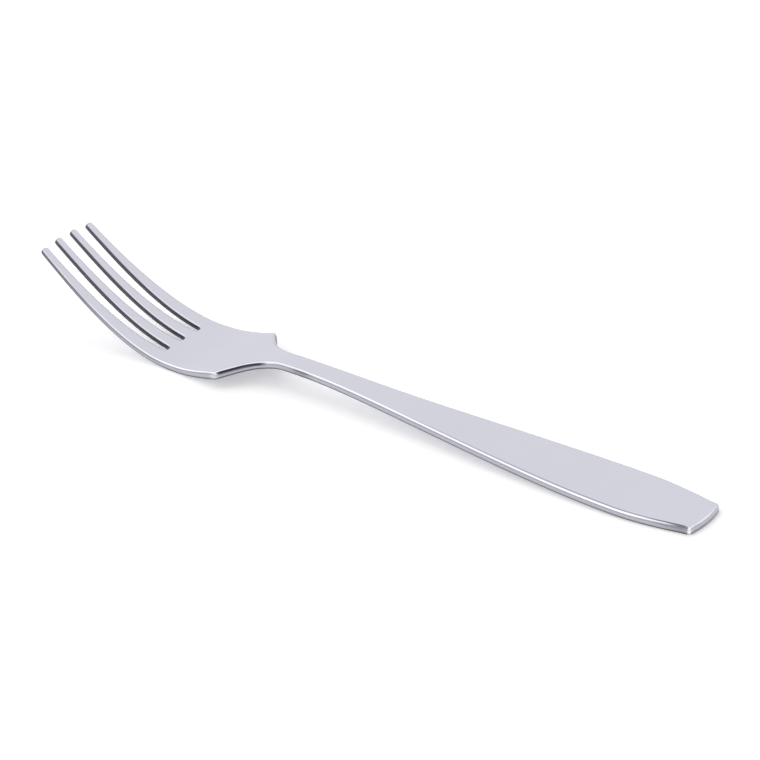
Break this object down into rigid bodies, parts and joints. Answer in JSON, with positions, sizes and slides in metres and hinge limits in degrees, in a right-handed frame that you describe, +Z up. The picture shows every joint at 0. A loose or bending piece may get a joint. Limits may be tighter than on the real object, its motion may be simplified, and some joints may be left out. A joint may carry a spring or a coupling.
{
  "type": "dinner fork",
  "caption": "Dinner fork in polished stainless steel: curved tines, flat palm with square shoulders, slim neck and a broad flat handle.",
  "frame": {"origin": "middle of the underside of the bounding box, on the table that the fork lies on", "axes": "+X along the fork from the tine tips to the handle's end, +Y across it, +Z up from the table"},
  "size_m": [0.2, 0.0272, 0.0217],
  "materials": {
    "steel": "polished stainless steel"
  },
  "bodies": {
    "root": {"fork": "steel"}
  },
  "joints": []
}
